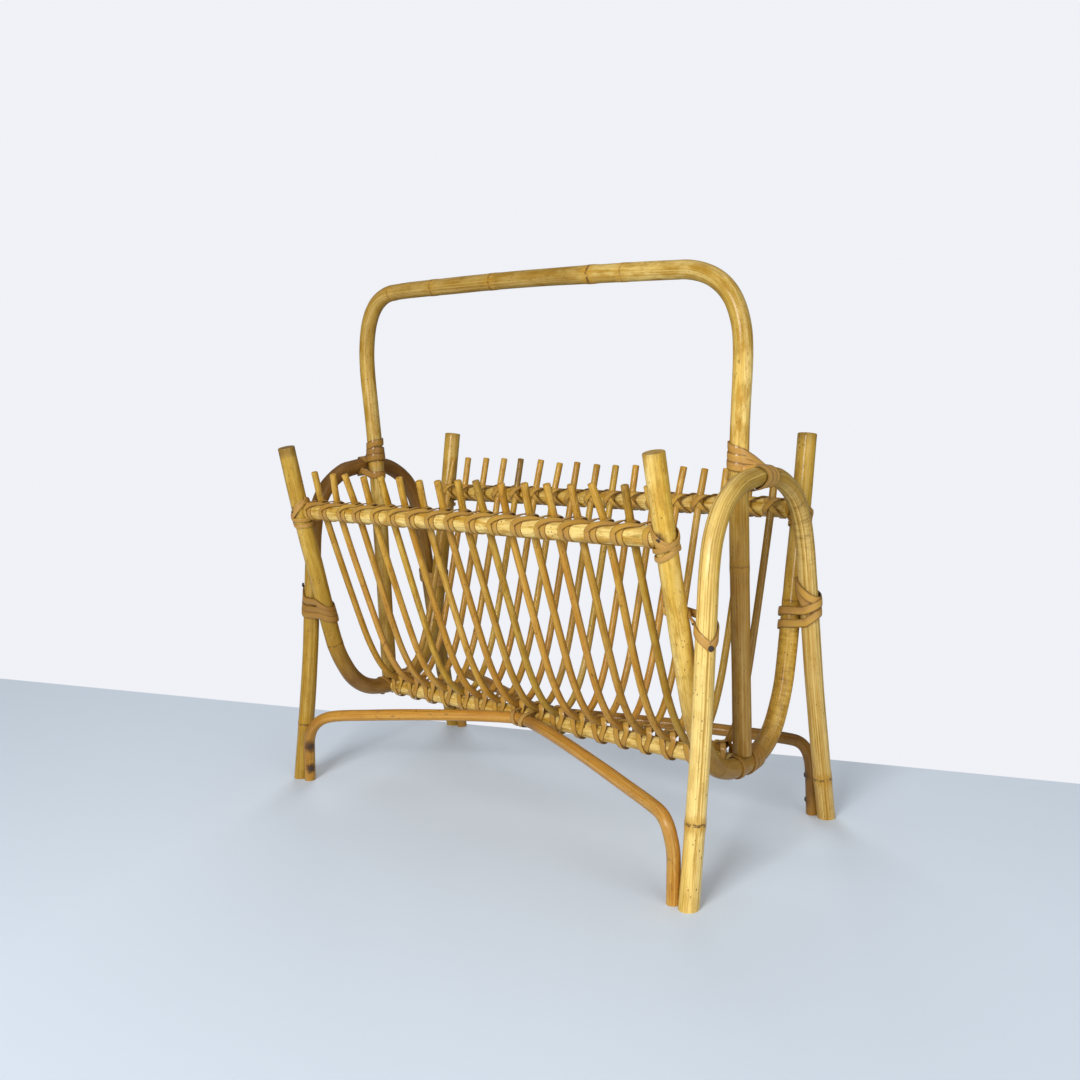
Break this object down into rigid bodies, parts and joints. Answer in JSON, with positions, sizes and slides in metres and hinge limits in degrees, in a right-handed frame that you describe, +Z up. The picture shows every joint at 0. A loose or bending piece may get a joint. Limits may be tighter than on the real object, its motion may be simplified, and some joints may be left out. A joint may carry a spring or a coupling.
{
  "type": "magazine basket",
  "caption": "Rattan magazine basket: a V-shaped trough of thin spindles in a bent pole frame on arched legs, lashed with cane strips, with one long carrying handle.",
  "frame": {"origin": "on the floor, midway between the four feet", "axes": "+X along the basket to the end on the right in the picture, +Y from the front side to the rear, +Z up"},
  "size_m": [0.4547, 0.2186, 0.4502],
  "materials": {
    "handle_pole": "varnished peeled rattan, honey yellow, satin",
    "left_arch_pole": "varnished peeled rattan, brown olive, satin",
    "right_arch_pole": "varnished peeled rattan, olive tan and striated, satin",
    "loop_pole": "varnished peeled rattan, straw to brown, satin",
    "rail_pole": "varnished peeled rattan, straw, satin",
    "bottom_rail_pole": "varnished peeled rattan, pale yellow, satin",
    "spindle_cane": "thin varnished rattan cane, tan orange, satin",
    "front_brace_cane": "varnished rattan cane, golden orange to red brown, satin",
    "rear_brace_cane": "varnished rattan cane, dark brown, satin",
    "binding_strip": "flat split cane, tan with a pale edge, satin",
    "lashing_strip": "flat split cane, tan brown, satin",
    "tie_strip": "narrow split cane, brown, satin",
    "nail_steel": "dull dark nail heads"
  },
  "bodies": {
    "root": {"handle": "handle_pole", "left_arch_legs": "left_arch_pole", "right_arch_legs": "right_arch_pole", "left_end_loop": "loop_pole", "right_end_loop": "loop_pole", "front_top_rail": "rail_pole", "rear_top_rail": "rail_pole", "bottom_rail": "bottom_rail_pole", "spindle_01": "spindle_cane", "spindle_02": "spindle_cane", "spindle_03": "spindle_cane", "spindle_04": "spindle_cane", "spindle_05": "spindle_cane", "spindle_06": "spindle_cane", "spindle_07": "spindle_cane", "spindle_08": "spindle_cane", "spindle_09": "spindle_cane", "spindle_10": "spindle_cane", "spindle_11": "spindle_cane", "spindle_12": "spindle_cane", "spindle_13": "spindle_cane", "spindle_14": "spindle_cane", "spindle_15": "spindle_cane", "spindle_16": "spindle_cane", "spindle_17": "spindle_cane", "front_brace": "front_brace_cane", "rear_brace": "rear_brace_cane", "front_rail_binding": "binding_strip", "rear_rail_binding": "binding_strip", "bottom_rail_binding": "binding_strip", "front_left_post_lashing": "lashing_strip", "front_left_leg_lashing": "lashing_strip", "front_right_post_lashing": "lashing_strip", "front_right_leg_lashing": "lashing_strip", "rear_left_post_lashing": "lashing_strip", "rear_left_leg_lashing": "lashing_strip", "rear_right_post_lashing": "lashing_strip", "rear_right_leg_lashing": "lashing_strip", "left_handle_lashing": "lashing_strip", "left_foot_lashing": "lashing_strip", "right_handle_lashing": "lashing_strip", "right_foot_lashing": "lashing_strip", "brace_tie": "tie_strip", "front_left_brace_nail_lower": "nail_steel", "front_left_brace_nail_upper": "nail_steel", "front_left_leg_nail": "nail_steel", "front_left_post_nail": "nail_steel", "front_right_brace_nail_lower": "nail_steel", "front_right_brace_nail_upper": "nail_steel", "front_right_leg_nail": "nail_steel", "front_right_post_nail": "nail_steel", "rear_left_brace_nail_lower": "nail_steel", "rear_left_brace_nail_upper": "nail_steel", "rear_left_leg_nail": "nail_steel", "rear_left_post_nail": "nail_steel", "rear_right_brace_nail_lower": "nail_steel", "rear_right_brace_nail_upper": "nail_steel", "rear_right_leg_nail": "nail_steel", "rear_right_post_nail": "nail_steel"}
  },
  "joints": []
}
